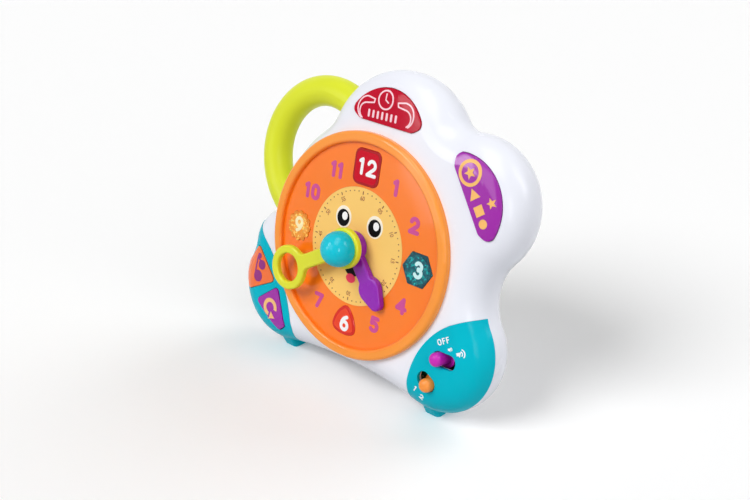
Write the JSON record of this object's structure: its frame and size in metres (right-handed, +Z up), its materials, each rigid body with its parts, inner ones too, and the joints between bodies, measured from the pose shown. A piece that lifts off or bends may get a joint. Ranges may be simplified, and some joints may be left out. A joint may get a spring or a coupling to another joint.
{
  "type": "teaching clock",
  "caption": "Free-standing toy teaching clock with geared hour and minute hands, press buttons, slide switches, a carrying handle and a screwed battery door.",
  "frame": {"origin": "on the floor under the middle of the clock's overall width and depth", "axes": "+X to the right of someone facing the dial, +Y from the dial towards the battery door, +Z up; the dial leans back, so it faces -Y and a little up"},
  "size_m": [0.2414, 0.0958, 0.2187],
  "materials": {
    "shell_white": "glossy moulded ABS",
    "panel_teal": "glossy moulded ABS",
    "handle_lime": "satin moulded polypropylene",
    "dial_orange": "glossy moulded ABS with printed numbers",
    "face_yellow": "printed label",
    "tile_red": "glossy moulded tile",
    "tile_teal": "glitter-filled tile",
    "tile_amber": "glitter-filled tile",
    "minute_yellow": "satin moulded plastic",
    "hour_purple": "satin moulded plastic",
    "knob_teal": "satin moulded plastic",
    "button_red": "glossy moulded button",
    "button_purple": "glossy moulded button",
    "button_orange": "glossy moulded button",
    "peg_magenta": "glossy moulded peg",
    "peg_orange": "glossy moulded peg",
    "acetal_white": "natural acetal",
    "board_green": "solder-masked board",
    "part_black": "black moulding",
    "dome_silicone": "silicone",
    "pad_rubber": "moulded rubber",
    "zinc_steel": "zinc plated",
    "contact_brass": "plated leaf",
    "cell_sleeve": "plain printed sleeve"
  },
  "bodies": {
    "clock_body": {"front_shell": "shell_white", "rear_shell": "shell_white", "left_corner_panel": "panel_teal", "right_corner_panel": "panel_teal", "handle": "handle_lime", "housing_screws": "zinc_steel", "rear_pads": "pad_rubber", "dial_plate": "dial_orange", "face_disc": "face_yellow", "square_tile": "tile_red", "hexagon_tile": "tile_teal", "triangle_tile": "tile_red", "sun_tile": "tile_amber", "dial_screws": "zinc_steel", "gear_case": "acetal_white", "case_cover": "acetal_white", "case_screws": "zinc_steel", "intermediate_pin": "zinc_steel", "main_board": "board_green", "board_parts": "part_black", "board_screws": "zinc_steel", "top_board": "board_green", "side_board": "board_green", "left_board": "board_green", "slide_board": "board_green", "top_dome": "dome_silicone", "side_dome": "dome_silicone", "left_domes": "dome_silicone", "speaker": "part_black", "speaker_clamp": "acetal_white", "speaker_screws": "zinc_steel", "cells": "cell_sleeve", "battery_contacts": "contact_brass"},
    "battery_door": {"battery_door": "shell_white", "door_screws": "zinc_steel"},
    "minute_hand": {"minute_hand": "minute_yellow", "centre_knob": "knob_teal", "minute_arbor": "acetal_white", "arbor_clip": "zinc_steel"},
    "hour_hand": {"hour_hand": "hour_purple", "hour_wheel": "acetal_white"},
    "intermediate_gear": {"intermediate_gear": "acetal_white"},
    "top_button": {"top_button": "button_red"},
    "side_button": {"side_button": "button_purple"},
    "music_button": {"music_button": "button_orange"},
    "repeat_button": {"repeat_button": "button_purple"},
    "volume_slider": {"volume_knob": "peg_magenta", "volume_wiper": "contact_brass"},
    "mode_slider": {"mode_knob": "peg_orange", "mode_wiper": "contact_brass"}
  },
  "joints": [
    {"name": "minute_turn", "type": "hinge", "parent": "clock_body", "child": "minute_hand", "pos_m": [0.00075, -0.01896, 0.1045], "axis": [0, -0.9755, 0.2198], "continuous": true},
    {"name": "intermediate_turn", "type": "hinge", "parent": "clock_body", "child": "intermediate_gear", "pos_m": [0.00075, -0.01544, 0.12011], "axis": [0, -0.9755, 0.2198], "continuous": true},
    {"name": "hour_turn", "type": "hinge", "parent": "clock_body", "child": "hour_hand", "pos_m": [0.00075, -0.01896, 0.1045], "axis": [0, -0.9755, 0.2198], "continuous": true},
    {"name": "top_button_press", "type": "slide", "parent": "clock_body", "child": "top_button", "axis": [0, 0.9755, -0.2198], "range_m": [0, 0.0015], "stiffness_N_per_m": 400, "springref_m": -0.0005},
    {"name": "side_button_press", "type": "slide", "parent": "clock_body", "child": "side_button", "axis": [0, 0.9755, -0.2198], "range_m": [0, 0.0015], "stiffness_N_per_m": 400, "springref_m": -0.0005},
    {"name": "music_button_press", "type": "slide", "parent": "clock_body", "child": "music_button", "axis": [0, 0.9755, -0.2198], "range_m": [0, 0.0015], "stiffness_N_per_m": 400, "springref_m": -0.0005},
    {"name": "repeat_button_press", "type": "slide", "parent": "clock_body", "child": "repeat_button", "axis": [0, 0.9755, -0.2198], "range_m": [0, 0.0015], "stiffness_N_per_m": 400, "springref_m": -0.0005},
    {"name": "volume_slide", "type": "slide", "parent": "clock_body", "child": "volume_slider", "axis": [0.9997, 0.0058, 0.0255], "range_m": [0, 0.0083]},
    {"name": "mode_slide", "type": "slide", "parent": "clock_body", "child": "mode_slider", "axis": [-0.8829, 0.1032, 0.458], "range_m": [0, 0.005]},
    {"name": "door_slide", "type": "slide", "parent": "clock_body", "child": "battery_door", "axis": [0, 0.9755, -0.2198], "range_m": [0, 0.03]}
  ],
  "couplings": [
    {"joint": "intermediate_turn", "follows": "minute_turn", "ratio": -0.33333},
    {"joint": "hour_turn", "follows": "minute_turn", "ratio": 0.083333}
  ]
}
